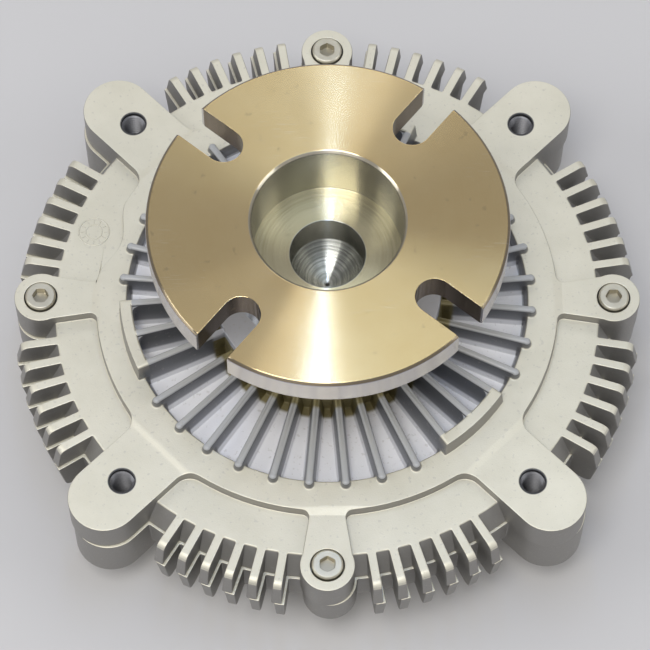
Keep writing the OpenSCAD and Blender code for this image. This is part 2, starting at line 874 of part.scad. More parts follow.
module bearing_outer_race() {
  out_r = bearing_od / 2;
  seal_h = seal_t + seal_inset;
  color(steel_colour)
    rotate_extrude()
      difference() {
        polygon([
          [out_r - race_chamfer, bearing_low_z],
          [out_r, bearing_low_z + race_chamfer],
          [out_r, bearing_top_z - race_chamfer],
          [out_r - race_chamfer, bearing_top_z],
          [seal_seat_r, bearing_top_z],
          [seal_seat_r, bearing_top_z - seal_h],
          [outer_land_r, bearing_top_z - seal_h],
          [outer_land_r, bearing_low_z + seal_h],
          [seal_seat_r, bearing_low_z + seal_h],
          [seal_seat_r, bearing_low_z]
        ]);
        race_groove();
      }
}

module bearing_inner_race() {
  in_r = bearing_bore_d / 2;
  color(steel_colour)
    rotate_extrude()
      difference() {
        polygon([
          [in_r, bearing_low_z],
          [inner_land_r, bearing_low_z],
          [inner_land_r, bearing_top_z],
          [in_r, bearing_top_z]
        ]);
        race_groove();
      }
}

module bearing_balls() {
  color(steel_colour)
    round_pattern(ball_count, 0) translate([pitch_r, 0, bearing_mid_z]) sphere(d = ball_d, $fn = 48);
}

// drum cage with a round pocket for each ball
module bearing_cage() {
  color(zinc_colour)
    difference() {
      tube(pitch_r + cage_t / 2, pitch_r - cage_t / 2, bearing_mid_z - cage_h / 2, bearing_mid_z + cage_h / 2);
      round_pattern(ball_count, 0) translate([pitch_r, 0, bearing_mid_z]) sphere(r = race_groove_r, $fn = 48);
    }
}

module bearing_rear_seal() {
  top_z = bearing_top_z - seal_inset;
  color(rubber_colour) tube(seal_seat_r - seat_gap, seal_lip_r, top_z - seal_t, top_z);
}

module bearing_front_seal() {
  low_z = bearing_low_z + seal_inset;
  color(rubber_colour) tube(seal_seat_r - seat_gap, seal_lip_r, low_z, low_z + seal_t);
}

// internal ring in the hub, with two plier eyes
module bearing_circlip() {
  out_r = circlip_groove_r - running_gap;
  band = 2.6;
  eye_r = 2.2;
  eye_hole_r = 0.9;
  eye_c = out_r - band + 0.3;
  gap_angle = 36;
  eye_angle = gap_angle / 2 + 5;
  color(steel_colour)
    translate([0, 0, circlip_low_z + running_gap])
      difference() {
        union() {
          rotate([0, 0, gap_angle / 2])
            rotate_extrude(angle = 360 - gap_angle) translate([out_r - band, 0]) square([band, circlip_t]);
          both_sides() translate(polar(eye_c, eye_angle)) cylinder(r = eye_r, h = circlip_t, $fn = 32);
        }
        both_sides()
          translate([each polar(eye_c, eye_angle), -over])
            cylinder(r = eye_hole_r, h = circlip_t + 2 * over, $fn = 24);
      }
}

// labyrinth rotor on the shaft's double-D end
module rotor() {
  section = concat(
    [
      [0, rotor_low_z],
      [rotor_r, rotor_low_z],
      [rotor_r, rotor_web_z]
    ],
    [for (i = [len(land_points) - 1:-1:0]) land_points[i]],
    [
      [rotor_hub_r, rotor_web_z],
      [rotor_hub_r, bearing_low_z],
      [0, bearing_low_z]
    ]
  );
  color(steel_colour)
    difference() {
      rotate_extrude() polygon(section);
      intersection() {
        translate([0, 0, rotor_low_z - over])
          cylinder(r = shaft_end_r + seat_gap, h = bearing_low_z - rotor_low_z + 2 * over);
        translate([-shaft_flat_w / 2 - seat_gap, -shaft_end_d, rotor_low_z - 2 * over])
          cube([shaft_flat_w + 2 * seat_gap, 2 * shaft_end_d, bearing_low_z - rotor_low_z + 4 * over]);
      }
      round_pattern(bleed_holes, 0)
        translate([bleed_r, 0, rotor_low_z - over]) cylinder(d = bleed_hole_d, h = rotor_web_t + 2 * over);
    }
}

land_points = land_steps(rotor_land_r, rotor_web_z, chamber_top_z - rotor_gap);

// external ring in the shaft's groove
module rotor_retaining_ring() {
  gap_angle = 70;
  color(steel_colour)
    slab(ring_groove_low_z + running_gap / 2, rotor_low_z)
      difference() {
        circle(r = retainer_out_r);
        circle(r = retainer_in_r + seat_gap);
        polygon([[0, 0], polar(2 * retainer_out_r, -gap_angle / 2), polar(2 * retainer_out_r, gap_angle / 2)]);
      }
}

// sheet between the working chamber and the reservoir
module divider_plate() {
  color(zinc_colour)
    slab(ledge_z, divider_top_z)
      difference() {
        circle(r = divider_r);
        translate(polar(port_r, port_clock)) circle(d = port_d, $fn = 48);
        round_pattern(rivet_count, rivet_clock)
          translate([rivet_circle_r, 0]) circle(r = rivet_r + seat_gap, $fn = 32);
      }
}

module divider_rivets() {
  color(steel_colour)
    round_pattern(rivet_count, rivet_clock)
      translate([rivet_circle_r, 0, 0])
        rotate_extrude($fn = 32)
          polygon([
            [0, ledge_z - rivet_len],
            [rivet_r, ledge_z - rivet_len],
            [rivet_r, divider_top_z],
            [rivet_head_r, divider_top_z],
            [rivet_head_r, divider_top_z + rivet_head_h / 2],
            [rivet_r, divider_top_z + rivet_head_h],
            [0, divider_top_z + rivet_head_h]
          ]);
}

// cranked arm from the spindle to the feed port
module valve_arm() {
  side = [
    [-arm_hub_w, arm_hub_z - arm_t],
    [arm_bend_r, arm_hub_z - arm_t],
    [arm_bend_r + 2 * arm_crank, arm_top_z - arm_t],
    [port_r + arm_hub_w, arm_top_z - arm_t],
    [port_r + arm_hub_w, arm_top_z],
    [arm_bend_r + 2 * arm_crank, arm_top_z],
    [arm_bend_r, arm_hub_z],
    [-arm_hub_w, arm_hub_z]
  ];
  color(zinc_colour)
    rotate([0, 0, port_clock])
      intersection() {
        side_cut(side, 2 * arm_hub_w);
        slab(arm_hub_z - 2 * arm_t, arm_top_z + arm_t)
          difference() {
            union() {
              circle(d = arm_hub_w);
              translate([0, -arm_w / 2 + over]) square([port_r, arm_w - 2 * over]);
              translate([port_r, 0]) circle(d = arm_w);
            }
            circle(r = tenon_r + seat_gap, $fn = 48);
          }
      }
}

// spindle through the front wall, staked to the arm and slotted for the coil
module valve_shaft() {
  color(steel_colour)
    difference() {
      rotate_extrude($fn = 64)
        polygon([
          [0, spindle_low_z],
          [spindle_r, spindle_low_z],
          [spindle_r, clip_top_z - clip_t - running_gap],
          [clip_groove_r, clip_top_z - clip_t - running_gap],
          [clip_groove_r, clip_top_z],
          [spindle_r, clip_top_z],
          [spindle_r, spindle_top_z],
          [tenon_r, spindle_top_z],
          [tenon_r, spindle_top_z + tenon_h],
          [0, spindle_top_z + tenon_h]
        ]);
      rotate([0, 0, coil_clock])
        translate([-coil_slot_w / 2, -coil_slot_w / 2, spindle_low_z - over])
          cube([2 * spindle_r, coil_slot_w, coil_w + over + running_gap]);
    }
}

module valve_shaft_seal() {
  color(rubber_colour)
    translate([0, 0, spindle_groove_z])
      rotate_extrude($fn = 64)
        translate([spindle_bore_r + spindle_seal_d / 2, 0]) circle(d = spindle_seal_d - seat_gap, $fn = 32);
}

// open ring in the spindle's groove, outside the front wall
module valve_shaft_clip() {
  mouth_angle = 80;
  color(steel_colour)
    slab(clip_top_z - clip_t, clip_top_z)
      rotate(180)
        difference() {
          circle(r = clip_r, $fn = 64);
          circle(r = clip_groove_r + seat_gap, $fn = 64);
          polygon([[0, 0], polar(2 * clip_r, -mouth_angle / 2), polar(2 * clip_r, mouth_angle / 2)]);
        }
}

// radius of the coil's centre line after a turn of a degrees
function coil_r(a) = coil_start_r + coil_pitch * a / 360;

// flat spiral strip with its inner end in the spindle and its outer end in the anchor
module bimetal_spring() {
  sweep = 360 * coil_turns;
  count = round(sweep / coil_step);
  angles = [for (i = [0:count]) sweep * i / count];
  outer_side = [for (a = angles) polar(coil_r(a) + coil_t / 2, a)];
  inner_side = [for (i = [count:-1:0]) polar(coil_r(angles[i]) - coil_t / 2, angles[i])];
  color(bimetal_colour)
    slab(spindle_low_z, coil_top_z)
      rotate(coil_clock) {
        polygon(concat(outer_side, inner_side));
        translate([0, -coil_t / 2]) square([coil_start_r, coil_t]);
        rotate(sweep) translate([coil_end_r - coil_t / 2, -coil_t]) square([coil_tip_r - coil_end_r, coil_t]);
      }
}

// slotted post that holds the coil's outer end
module bimetal_anchor() {
  color(steel_colour)
    rotate([0, 0, anchor_clock])
      difference() {
        translate([anchor_c, 0, spindle_low_z])
          cylinder(r = anchor_r, h = anchor_seat_z - spindle_low_z, $fn = 48);
        translate([anchor_c - 2 * anchor_r, -coil_t / 2 - coil_slot_w / 2, spindle_low_z - over])
          cube([4 * anchor_r, coil_slot_w, coil_w + over + running_gap]);
      }
}

input_shaft();
rear_housing();
front_cover();
cover_bolts();
cover_seal();
bearing_outer_race();
bearing_inner_race();
bearing_balls();
bearing_cage();
bearing_rear_seal();
bearing_front_seal();
bearing_circlip();
rotor();
rotor_retaining_ring();
divider_plate();
divider_rivets();
valve_arm();
valve_shaft();
valve_shaft_seal();
valve_shaft_clip();
bimetal_spring();
bimetal_anchor();
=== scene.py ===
import math

import bpy
from mathutils import Matrix, Quaternion, Vector
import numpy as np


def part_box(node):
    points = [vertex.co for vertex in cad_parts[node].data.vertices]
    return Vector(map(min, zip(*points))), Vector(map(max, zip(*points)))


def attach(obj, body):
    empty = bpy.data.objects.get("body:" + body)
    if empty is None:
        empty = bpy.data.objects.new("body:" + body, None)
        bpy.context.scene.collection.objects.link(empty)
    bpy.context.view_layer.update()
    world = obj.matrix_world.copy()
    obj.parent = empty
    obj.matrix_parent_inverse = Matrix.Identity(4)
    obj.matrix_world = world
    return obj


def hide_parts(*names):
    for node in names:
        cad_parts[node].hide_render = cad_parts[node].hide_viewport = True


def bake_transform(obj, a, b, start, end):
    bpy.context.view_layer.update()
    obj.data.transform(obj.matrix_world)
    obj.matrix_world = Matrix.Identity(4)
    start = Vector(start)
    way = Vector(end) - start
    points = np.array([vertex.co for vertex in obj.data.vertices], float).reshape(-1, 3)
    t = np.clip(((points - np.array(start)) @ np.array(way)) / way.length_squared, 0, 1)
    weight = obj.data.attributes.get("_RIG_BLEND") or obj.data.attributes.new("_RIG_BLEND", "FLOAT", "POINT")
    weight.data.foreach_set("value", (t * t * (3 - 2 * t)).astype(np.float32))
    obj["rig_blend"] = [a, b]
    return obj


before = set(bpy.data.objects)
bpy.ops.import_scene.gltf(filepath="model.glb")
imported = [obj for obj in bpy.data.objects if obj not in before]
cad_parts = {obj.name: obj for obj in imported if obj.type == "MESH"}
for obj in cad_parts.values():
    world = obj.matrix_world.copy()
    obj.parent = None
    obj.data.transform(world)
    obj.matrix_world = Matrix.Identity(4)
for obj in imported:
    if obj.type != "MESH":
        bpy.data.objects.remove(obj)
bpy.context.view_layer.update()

MM = 0.001

# Heights and radii of the clutch, in metres, in the shared frame
PAD_Z = -3.2 * MM
LUG_LOW_Z = -27.5 * MM
FOOT_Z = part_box("front_cover")[0].z
FAN_CIRCLE_R = 78.75 * MM
FAN_HOLE_R = 3.4 * MM
FAN_HOLE_SPOT = (FAN_CIRCLE_R * math.sqrt(0.5), FAN_CIRCLE_R * math.sqrt(0.5), 0)
SCREW_CIRCLE_R = 80.0 * MM
COIL_IN_R = 5.6 * MM
COIL_OUT_R = 19.2 * MM
STAMP_PLACE = (-66.1 * MM, 22.2 * MM, PAD_Z)

# The three closed blocks at the edge of the dish, and the tight corners of their pockets
BLOCK_TURN = math.radians(75)
BLOCK_STEP = math.radians(120)
POCKET_HALF = math.radians(11.5)
POCKET_IN_R = 52.0 * MM
POCKET_OUT_R = 54.8 * MM

# Rounding of edges
CAST_ROUND = 0.35 * MM
SHAFT_ROUND = 0.2 * MM
SMALL_ROUND = 0.12 * MM
SHARP_ANGLE = math.radians(28)
FLAT_ANGLE = math.radians(0.1)
SMOOTH_ANGLE = math.radians(40)
WELD = 0.001 * MM

# Borders on the castings, as where each change of finish or of painted shade begins and ends
CAST_WALL_UP = (0.35, 0.72)
BLOCK_END_TURN = (math.radians(11.0), math.radians(11.4))
BLOCK_WALL_R = (54.2 * MM, 54.6 * MM)
DISH_EDGE_R = (55.3 * MM, 56.0 * MM)
DISH_FLOOR_Z = (-5.0 * MM, -4.4 * MM)
RIB_END_R = (58.6 * MM, 59.0 * MM)
ABOVE_RING_Z = (0.7 * MM, 0.9 * MM)
FAN_HOLE_EDGE_R = (3.7 * MM, 4.0 * MM)
FLANK_Z = (-4.0 * MM, 2.6 * MM)
LOW_FLANK_Z = (-2.4 * MM, -1.2 * MM)
CREST_Z = (2.1 * MM, 2.5 * MM)
CREST_UP = (0.45, 0.60)
DISH_FOOT_R = (54.5 * MM, 54.9 * MM)
DISH_FOOT_Z = (0.0, 0.5 * MM)
NEAR_HUB_R = (34.6 * MM, 35.8 * MM)
LOW_BAY_Z = (4.2 * MM, 4.8 * MM)

# Borders on the input shaft and in the screws' sockets
DRILL_TIP_R = (0.4 * MM, 0.8 * MM)
DRILL_R = (10.3 * MM, 10.6 * MM)
DRILL_CONE_UP = (0.40, 0.60)
BORE_R = (20.9 * MM, 21.3 * MM)
BORE_TOP_Z = (45.0 * MM, 45.6 * MM)
BORE_FLOOR_UP = (0.55, 0.75)
BORE_EDGE_R = (23.0 * MM, 25.0 * MM)
CUP_Z = (36.2 * MM, 36.5 * MM)
RIM_R = (47.6 * MM, 47.9 * MM)
FLANGE_EDGE_UP = (0.5, 0.62)
FLANGE_FACE_UP = (0.80, 0.93)
SOCKET_R = (2.05 * MM, 2.45 * MM)

# Lamps: name, place, target, width, depth, power and colour
LAMPS = (
    ("bench_lamp", (-0.20, -0.50, 1.45), (0, 0, 0), 0.6, 0.6, 10.6, (1.0, 0.985, 0.955)),
    ("left_lamp", (-1.0, -0.2, 0.70), (0, 0, 0), 0.5, 0.5, 3.4, (0.97, 0.985, 1.0)),
    ("right_lamp", (1.0, -0.2, 0.70), (0, 0, 0), 0.5, 0.5, 2.2, (0.97, 0.985, 1.0)),
    ("glow_lamp", (0.10, 0.03, 0.55), (0, 0.03, 0), 0.40, 0.22, 0.27, (0.80, 0.92, 1.0)),
    ("strip_lamp", (-0.0065, 0.03, 0.54), (-0.0065, 0.03, 0), 0.006, 0.24, 0.20,
     (0.33, 0.52, 1.0)),
    ("back_lamp", (0, 1.05, 0.80), (0, 0.05, 0), 0.9, 0.35, 1.6, (1.0, 0.99, 0.97)),
)
SURROUND_COLOUR = (0.80, 0.80, 0.84, 1)
SURROUND_STRENGTH = 0.52


# Camera at the photograph's angle

def place_camera():
    elevation = math.radians(63.46)
    swing = math.radians(-0.49)
    roll = math.radians(0.42)
    distance = 0.819
    aim_down = 7.76 * MM
    aim_left = 0.56 * MM
    back = Vector((0, -math.cos(elevation), math.sin(elevation)))
    back.rotate(Quaternion((0, 0, 1), swing))
    right = Vector((0, 0, 1)).cross(back).normalized()
    up = back.cross(right)
    location = back * distance
    aim = -up * aim_down - right * aim_left
    data = bpy.data.cameras.new("bench_camera")
    data.sensor_width = 36
    data.lens = 162.44
    data.clip_start = 0.01
    camera = bpy.data.objects.new("bench_camera", data)
    bpy.context.scene.collection.objects.link(camera)
    look = (aim - location).to_track_quat("-Z", "Y")
    camera.rotation_mode = "QUATERNION"
    camera.rotation_quaternion = look @ Quaternion((0, 0, 1), roll)
    camera.location = location
    bpy.context.scene.camera = camera


# Soft bench light

def area_light(name, place, target, width, depth, power, colour):
    data = bpy.data.lights.new(name, "AREA")
    data.shape = "RECTANGLE"
    data.size = width
    data.size_y = depth
    data.energy = power
    data.color = colour
    lamp = bpy.data.objects.new(name, data)
    bpy.context.scene.collection.objects.link(lamp)
    lamp.location = place
    lamp.rotation_euler = (Vector(target) - Vector(place)).to_track_quat("-Z", "Y").to_euler()


def light_bench():
    for lamp in LAMPS:
        area_light(*lamp)
    world = bpy.data.worlds.new("bench_surround")
    world.use_nodes = True
    surround = world.node_tree.nodes["Background"]
    surround.inputs["Color"].default_value = SURROUND_COLOUR
    surround.inputs["Strength"].default_value = SURROUND_STRENGTH
    bpy.context.scene.world = world
    bpy.context.scene.view_settings.view_transform = "Standard"


# Finishes

class Finish:
    """A procedural metal, rubber or paper, built from nodes on the piece's own coordinates."""

    def __init__(self, name):
        self.material = bpy.data.materials.new(name)
        self.material.use_nodes = True
        self.tree = self.material.node_tree
        self.shader = self.tree.nodes["Principled BSDF"]
        self.place = self.add("ShaderNodeTexCoord").outputs["Object"]

    def add(self, kind, **settings):
        node = self.tree.nodes.new(kind)
        for key, value in settings.items():
            setattr(node, key, value)
        return node

    def link(self, source, target):
        self.tree.links.new(source, target)

    def feed(self, socket, value):
        if isinstance(value, bpy.types.NodeSocket):
            self.link(value, socket)
        else:
            socket.default_value = value

    def math(self, operation, a, b=0.0, c=0.0):
        node = self.add("ShaderNodeMath", operation=operation)
        self.feed(node.inputs[0], a)
        self.feed(node.inputs[1], b)
        self.feed(node.inputs[2], c)
        return node.outputs[0]

    def times(self, a, b):
        return self.math("MULTIPLY", a, b)

    def vector(self, operation, a, b=(0, 0, 0)):
        node = self.add("ShaderNodeVectorMath", operation=operation)
        self.feed(node.inputs[0], a)
        self.feed(node.inputs[1], b)
        return node.outputs["Value" if operation == "LENGTH" else "Vector"]

    def step(self, value, low, high):
        """0 below low, 1 above high, smooth between."""
        node = self.add("ShaderNodeMapRange", interpolation_type="SMOOTHSTEP")
        self.feed(node.inputs["Value"], value)
        node.inputs["From Min"].default_value = low
        node.inputs["From Max"].default_value = high
        return node.outputs["Result"]

    def below(self, value, low, high):
        """1 below low, 0 above high, smooth between."""
        return self.math("SUBTRACT", 1.0, self.step(value, low, high))

    def span(self, value, low, high):
        """A 0 to 1 value stretched to low and high."""
        node = self.add("ShaderNodeMapRange")
        self.feed(node.inputs["Value"], value)
        node.inputs["To Min"].default_value = low
        node.inputs["To Max"].default_value = high
        return node.outputs["Result"]

    def noise(self, scale, detail=2.0, roughness=0.5, place=None):
        node = self.add("ShaderNodeTexNoise")
        self.link(self.place if place is None else place, node.inputs["Vector"])
        node.inputs["Scale"].default_value = scale
        node.inputs["Detail"].default_value = detail
        node.inputs["Roughness"].default_value = roughness
        return node.outputs["Fac"]

    def rings(self, distance, scale):
        """Lathe lines: noise along one distance only."""
        node = self.add("ShaderNodeTexNoise", noise_dimensions="1D")
        self.link(distance, node.inputs["W"])
        node.inputs["Scale"].default_value = scale
        node.inputs["Detail"].default_value = 2.0
        return node.outputs["Fac"]

    def scratches(self, turn, along, across):
        """Sparse thin handling marks, longer in one direction."""
        mapping = self.add("ShaderNodeMapping")
        self.link(self.place, mapping.inputs["Vector"])
        mapping.inputs["Rotation"].default_value = (0, 0, turn)
        mapping.inputs["Scale"].default_value = (along, across, along)
        streaks = self.noise(1.0, detail=0.0, place=mapping.outputs["Vector"])
        patches = self.noise(45, detail=1)
        return self.times(self.step(streaks, 0.74, 0.80), self.step(patches, 0.50, 0.62))

    def mix(self, share, a, b):
        """Colour between a and b by a share."""
        node = self.add("ShaderNodeMix", data_type="RGBA")
        self.feed(node.inputs["Factor"], share)
        for socket, value in ((node.inputs[6], a), (node.inputs[7], b)):
            self.feed(socket, value if isinstance(value, bpy.types.NodeSocket) else (*value, 1))
        return node.outputs[2]

    def tint(self, share, strength, tone, colour):
        """The tone, turned towards a colour by part of a share."""
        return self.mix(self.times(share, strength), tone, colour)

    def blend(self, share, a, b):
        """Plain number between a and b by a share."""
        node = self.add("ShaderNodeMix", data_type="FLOAT")
        self.feed(node.inputs["Factor"], share)
        self.feed(node.inputs[2], a)
        self.feed(node.inputs[3], b)
        return node.outputs[0]

    def bump(self, height, strength, depth, under=None):
        node = self.add("ShaderNodeBump")
        self.link(height, node.inputs["Height"])
        node.inputs["Strength"].default_value = strength
        node.inputs["Distance"].default_value = depth
        if under is not None:
            self.link(under, node.inputs["Normal"])
        return node.outputs["Normal"]

    def flat_place(self):
        """The place seen along the axis."""
        return self.vector("MULTIPLY", self.place, (1, 1, 0))

    def radius(self):
        return self.vector("LENGTH", self.flat_place())

    def axes(self):
        node = self.add("ShaderNodeSeparateXYZ")
        self.link(self.place, node.inputs[0])
        return node.outputs

    def upness(self):
        """1 on faces square to the axis, 0 on walls round it."""
        normal = self.add("ShaderNodeNewGeometry").outputs["True Normal"]
        node = self.add("ShaderNodeSeparateXYZ")
        self.link(normal, node.inputs[0])
        return self.math("ABSOLUTE", node.outputs[2])

    def round_grain(self):
        """Brushed lines that run round the axis."""
        tangent = self.vector("NORMALIZE", self.vector("CROSS_PRODUCT", (0, 0, 1), self.place))
        self.link(tangent, self.shader.inputs["Tangent"])
        self.shader.inputs["Anisotropic"].default_value = 1.0
        self.shader.inputs["Anisotropic Rotation"].default_value = 0.25

    def surface(self, colour, roughness, normal, metal=1.0):
        self.feed(self.shader.inputs["Base Color"], colour)
        self.feed(self.shader.inputs["Roughness"], roughness)
        self.feed(self.shader.inputs["Metallic"], metal)
        self.link(normal, self.shader.inputs["Normal"])
        return self.material


def blasted_casting():
    """Shot-blasted die casting, with a bright cool skin on the floor and ribs of the dish, and painted
    shade, shadow and reflection on walls, holes, ribs and under the flange.
    """
    f = Finish("blasted_casting")
    r = f.radius()
    x, y, z = f.axes()
    up = f.upness()
    wall = f.below(up, *CAST_WALL_UP)
    cloud = f.noise(60, detail=4, roughness=0.6)
    stain = f.noise(17, detail=3, roughness=0.6)
    grain = f.noise(2600)

    # Where the cool skin lies: in the dish and on its ribs, but not on the three blocks
    turn = f.math("SUBTRACT", f.math("ARCTAN2", y, x), BLOCK_TURN)
    from_block = f.math("ABSOLUTE", f.math("WRAP", turn, BLOCK_STEP / 2, -BLOCK_STEP / 2))
    off_block = f.math("MAXIMUM", f.step(from_block, *BLOCK_END_TURN), f.below(r, *BLOCK_WALL_R))
    dish = f.times(f.below(r, *DISH_EDGE_R), f.step(z, *DISH_FLOOR_Z))
    ribs = f.times(f.below(r, *RIB_END_R), f.step(z, *ABOVE_RING_Z))
    silver = f.times(f.math("MAXIMUM", dish, ribs), off_block)

    # Warm blasted skin, with painted shade: darker on walls, and near-black in the fan holes
    warm = f.mix(cloud, (0.605, 0.575, 0.46), (0.80, 0.765, 0.64))
    warm = f.tint(f.step(stain, 0.45, 0.70), 0.25, warm, (0.60, 0.59, 0.50))
    # Painted shade: steep walls are darkened to a dull grey
    warm = f.tint(wall, 0.9, warm, (0.265, 0.257, 0.25))
    # Painted shade: the fan holes' walls are painted near-black
    off_hole = f.vector("SUBTRACT", f.vector("ABSOLUTE", f.flat_place()), FAN_HOLE_SPOT)
    fan_hole_shade = f.below(f.vector("LENGTH", off_hole), *FAN_HOLE_EDGE_R)
    warm = f.mix(fan_hole_shade, warm, (0.07, 0.07, 0.073))

    # Cool skin, with painted shade on the ribs' flanks and crests, a painted shadow line at the base of the
    # rim, painted shade and reflection in the bay under the flange, and the hub
    cool = f.mix(cloud, (0.80, 0.805, 0.835), (0.92, 0.92, 0.945))
    # Painted shade on the ribs' flanks, darkest near the top, and painted light on their lower part, as
    # bright as the floor
    painted_flank_light_and_shade = f.mix(f.step(z, *FLANK_Z), (0.27, 0.275, 0.30), (0.125, 0.13, 0.14))
    painted_flank_light_and_shade = f.mix(f.below(z, *LOW_FLANK_Z), painted_flank_light_and_shade, (0.78, 0.785, 0.81))
    cool = f.tint(wall, 0.94, cool, painted_flank_light_and_shade)
    # Painted shade: the flat tops of the ribs are painted a darker grey
    crest = f.times(f.step(z, *CREST_Z), f.step(up, *CREST_UP))
    cool = f.tint(crest, 0.9, cool, (0.36, 0.365, 0.36))
    # Painted shadow: a dark line on the dish floor at the base of its rim
    rim_foot_shadow = f.times(f.step(r, *DISH_FOOT_R), f.below(z, *DISH_FOOT_Z))
    cool = f.tint(rim_foot_shadow, 0.8, cool, (0.15, 0.15, 0.155))
    near_hub = f.below(r, *NEAR_HUB_R)
    # Painted shade and painted reflection: under the flange the floor and ribs are painted dark olive with
    # gold spots
    hub_bay = f.times(near_hub, f.below(z, *LOW_BAY_Z))
    flange_shade_and_reflection = f.mix(f.noise(330), (0.10, 0.085, 0.035), (0.38, 0.33, 0.17))
    cool = f.mix(hub_bay, cool, flange_shade_and_reflection)
    hub_face = f.math("SUBTRACT", near_hub, hub_bay)
    cool = f.mix(hub_face, cool, f.mix(cloud, (0.42, 0.43, 0.47), (0.60, 0.61, 0.65)))

    tone = f.mix(silver, warm, cool)
    tone = f.tint(f.step(f.noise(900), 0.62, 0.72), 0.3, tone, (0.42, 0.40, 0.36))
    rough = f.blend(silver, f.span(grain, 0.42, 0.60), f.span(grain, 0.34, 0.46))
    skin = f.bump(grain, strength=0.4, depth=0.08 * MM)
    skin = f.bump(f.noise(220), strength=0.3, depth=0.12 * MM, under=skin)
    bright_floor = f.times(silver, f.math("SUBTRACT", 1.0, wall))
    return f.surface(tone, rough, skin, metal=f.blend(bright_floor, 0.60, 0.05))


def chromate_steel():
    """Turned steel with a gold chromate film on the faces, barer on the rim and bore, with painted shade on
    the slot walls and the outer chamfer.
    """
    f = Finish("gold_chromate_steel")
    r = f.radius()
    z = f.axes()[2]
    up = f.upness()
    film = f.noise(38, detail=4, roughness=0.6)
    lines = f.rings(r, 5200)
    broad = f.rings(r, 420)

    # Faces, edges and outer walls, with painted shade on the outer chamfer and the slot walls
    gold = f.mix(film, (0.66, 0.475, 0.195), (0.80, 0.635, 0.345))
    gold = f.tint(lines, 0.22, gold, (0.90, 0.82, 0.62))
    # Painted shade: the outer chamfer is painted dark brown; near the bore it is lighter
    edge = f.mix(broad, (0.26, 0.21, 0.14), (0.36, 0.30, 0.21))
    edge = f.mix(f.step(r, *BORE_EDGE_R), (0.66, 0.60, 0.47), edge)
    rim = f.mix(broad, (0.55, 0.53, 0.56), (0.67, 0.65, 0.68))
    # Painted shade: the slot walls are painted dark brown
    slot = f.mix(broad, (0.13, 0.105, 0.085), (0.21, 0.17, 0.14))
    cup = f.mix(broad, (0.66, 0.70, 0.76), (0.80, 0.83, 0.88))
    walls = f.mix(f.step(r, *RIM_R), slot, rim)
    walls = f.mix(f.below(z, *CUP_Z), walls, cup)
    outer = f.mix(f.step(up, *FLANGE_EDGE_UP), walls, edge)
    outer = f.mix(f.step(up, *FLANGE_FACE_UP), outer, gold)

    # Pilot bore and drilled relief
    bore = f.mix(f.rings(z, 2400), (0.36, 0.352, 0.30), (0.52, 0.51, 0.445))
    bore_floor = f.mix(f.rings(r, 1500), (0.60, 0.535, 0.335), (0.80, 0.73, 0.50))
    drill_wall = f.mix(f.rings(z, 1800), (0.22, 0.21, 0.175), (0.33, 0.32, 0.275))
    cone_rings = f.step(f.rings(r, 1300), 0.35, 0.65)
    drill_cone = f.mix(cone_rings, (0.34, 0.345, 0.315), (0.56, 0.565, 0.525))
    # Painted shade: a near-black dot at the tip of the drilled cone
    drill_cone = f.mix(f.step(r, *DRILL_TIP_R), (0.05, 0.05, 0.045), drill_cone)
    drilled = f.mix(f.step(up, *DRILL_CONE_UP), drill_wall, drill_cone)
    inner = f.mix(f.step(up, *BORE_FLOOR_UP), bore, bore_floor)
    inner = f.mix(f.step(r, *DRILL_R), drilled, inner)
    inside = f.times(f.below(r, *BORE_R), f.below(z, *BORE_TOP_Z))

    tone = f.mix(inside, outer, inner)
    marks = f.math("MAXIMUM", f.scratches(0.9, 160, 4200), f.scratches(2.3, 220, 5200))
    tone = f.tint(marks, 0.18, tone, (0.96, 0.93, 0.86))
    stain = f.step(f.noise(420, detail=3), 0.66, 0.74)
    tone = f.tint(stain, 0.25, tone, (0.40, 0.32, 0.20))
    rough = f.blend(inside, f.span(f.noise(90, detail=3), 0.20, 0.25), 0.27)
    f.round_grain()
    return f.surface(tone, rough, f.bump(lines, strength=0.10, depth=0.02 * MM))


def cut_thread():
    """Tapped aluminium, painted dark as the shade inside the fan holes."""
    f = Finish("thread_aluminium_painted_shade")
    chatter = f.noise(1500)
    tone = f.mix(chatter, (0.13, 0.13, 0.135), (0.24, 0.24, 0.25))
    skin = f.bump(chatter, strength=0.1, depth=0.01 * MM)
    return f.surface(tone, f.span(chatter, 0.40, 0.55), skin)


def zinc_plate():
    """Pale yellow zinc on pressed steel."""
    f = Finish("yellow_zinc_plate")
    film = f.noise(420, detail=3)
    tone = f.mix(film, (0.70, 0.66, 0.50), (0.84, 0.81, 0.70))
    skin = f.bump(f.noise(2400), strength=0.15, depth=0.03 * MM)
    return f.surface(tone, f.span(film, 0.24, 0.40), skin)


def screw_zinc():
    """Zinc on the cap screws: turned rings on the heads and painted shade in the sockets."""
    f = Finish("cap_screw_zinc")
    x, y = (f.math("ABSOLUTE", axis) for axis in f.axes()[:2])
    along = f.math("SUBTRACT", f.math("MAXIMUM", x, y), SCREW_CIRCLE_R)
    across = f.math("MINIMUM", x, y)
    squares = f.math("ADD", f.math("POWER", along, 2.0), f.math("POWER", across, 2.0))
    off_axis = f.math("SQRT", squares)
    film = f.noise(420, detail=3)
    tone = f.mix(film, (0.60, 0.565, 0.45), (0.74, 0.71, 0.60))
    tone = f.tint(f.rings(off_axis, 2600), 0.4, tone, (0.48, 0.45, 0.37))
    # Painted shade: the hex sockets are painted darker
    tone = f.tint(f.below(off_axis, *SOCKET_R), 0.55, tone, (0.30, 0.265, 0.20))
    skin = f.bump(f.noise(2400), strength=0.15, depth=0.03 * MM)
    return f.surface(tone, f.span(film, 0.36, 0.52), skin)


